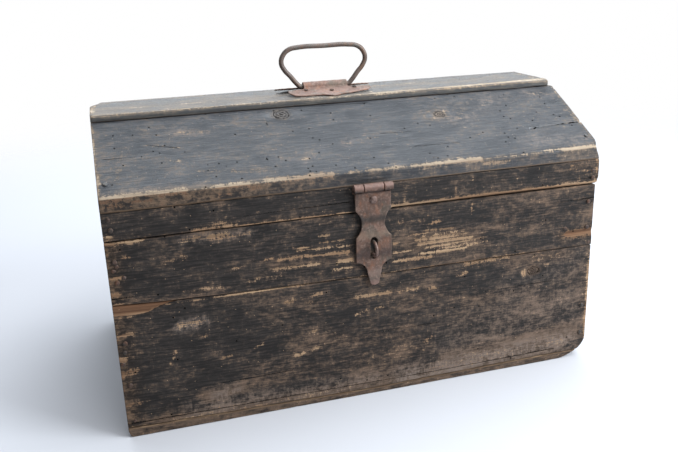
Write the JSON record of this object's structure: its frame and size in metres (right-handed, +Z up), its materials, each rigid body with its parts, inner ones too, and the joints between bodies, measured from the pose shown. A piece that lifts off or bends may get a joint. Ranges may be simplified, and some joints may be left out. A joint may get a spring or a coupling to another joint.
{
  "type": "donation box",
  "caption": "Wooden chest-shaped donation box with a hinged hip lid, wire carrying handle on a flat ridge board, and a front hasp and staple for a padlock.",
  "frame": {"origin": "on the floor, under the middle of the box body", "axes": "+X to the right along the box's length, -Y to the front where the hasp is, +Z up"},
  "size_m": [0.483, 0.2978, 0.3342],
  "materials": {
    "painted_wood": "worn black-brown paint over planed softwood",
    "iron": "matt rust-brown sheet iron",
    "rusty_sheet": "matt pinkish rust",
    "iron_wire": "rubbed brown iron wire",
    "nail": "dark rusted nail heads"
  },
  "bodies": {
    "box": {"back_plank_lower": "painted_wood", "back_plank_upper": "painted_wood", "bottom_board_back": "painted_wood", "bottom_board_front": "painted_wood", "front_nail_left_lower_1": "nail", "front_nail_left_lower_2": "nail", "front_nail_left_upper_1": "nail", "front_nail_left_upper_2": "nail", "front_nail_right_lower_1": "nail", "front_nail_right_lower_2": "nail", "front_nail_right_upper_1": "nail", "front_nail_right_upper_2": "nail", "front_plank_lower": "painted_wood", "front_plank_upper": "painted_wood", "hinge_left_body_leaf": "iron", "hinge_left_body_nail_1": "nail", "hinge_left_body_nail_2": "nail", "hinge_left_pin": "iron", "hinge_right_body_leaf": "iron", "hinge_right_body_nail_1": "nail", "hinge_right_body_nail_2": "nail", "hinge_right_pin": "iron", "left_end_lower": "painted_wood", "left_end_upper": "painted_wood", "right_end_lower": "painted_wood", "right_end_upper": "painted_wood", "staple": "iron_wire"},
    "lid": {"handle_nail_back_1": "nail", "handle_nail_back_2": "nail", "handle_nail_back_3": "nail", "handle_nail_front_1": "nail", "handle_nail_front_2": "nail", "handle_nail_front_3": "nail", "handle_plate": "rusty_sheet", "hasp_leaf": "iron", "hasp_leaf_nail_1": "nail", "hasp_leaf_nail_2": "nail", "hasp_pin": "iron", "hinge_left_lid_leaf": "iron", "hinge_left_lid_nail_1": "nail", "hinge_left_lid_nail_2": "nail", "hinge_right_lid_leaf": "iron", "hinge_right_lid_nail_1": "nail", "hinge_right_lid_nail_2": "nail", "lid_gable_left": "painted_wood", "lid_gable_right": "painted_wood", "lid_rail_back": "painted_wood", "lid_rail_front": "painted_wood", "lid_rail_nail_1": "nail", "lid_rail_nail_2": "nail", "lid_slope_back": "painted_wood", "lid_slope_front": "painted_wood", "lid_slope_nail_back_1": "nail", "lid_slope_nail_back_2": "nail", "lid_slope_nail_front_1": "nail", "lid_slope_nail_front_2": "nail", "ridge_board": "painted_wood"},
    "hasp": {"hasp_rivet": "iron", "hasp_strap": "iron"},
    "bail": {"handle_bail": "iron_wire"}
  },
  "joints": [
    {"name": "lid_hinge", "type": "hinge", "parent": "box", "child": "lid", "pos_m": [0, 0.1423, 0.1915], "axis": [-1, 0, 0], "range_deg": [0, 180]},
    {"name": "hasp_hinge", "type": "hinge", "parent": "lid", "child": "hasp", "pos_m": [0.0013, -0.1425, 0.2154], "axis": [-1, 0, 0], "range_deg": [0, 170]},
    {"name": "bail_hinge", "type": "hinge", "parent": "lid", "child": "bail", "pos_m": [-0.002, 0, 0.291], "axis": [1, 0, 0], "range_deg": [-80, 80]}
  ]
}
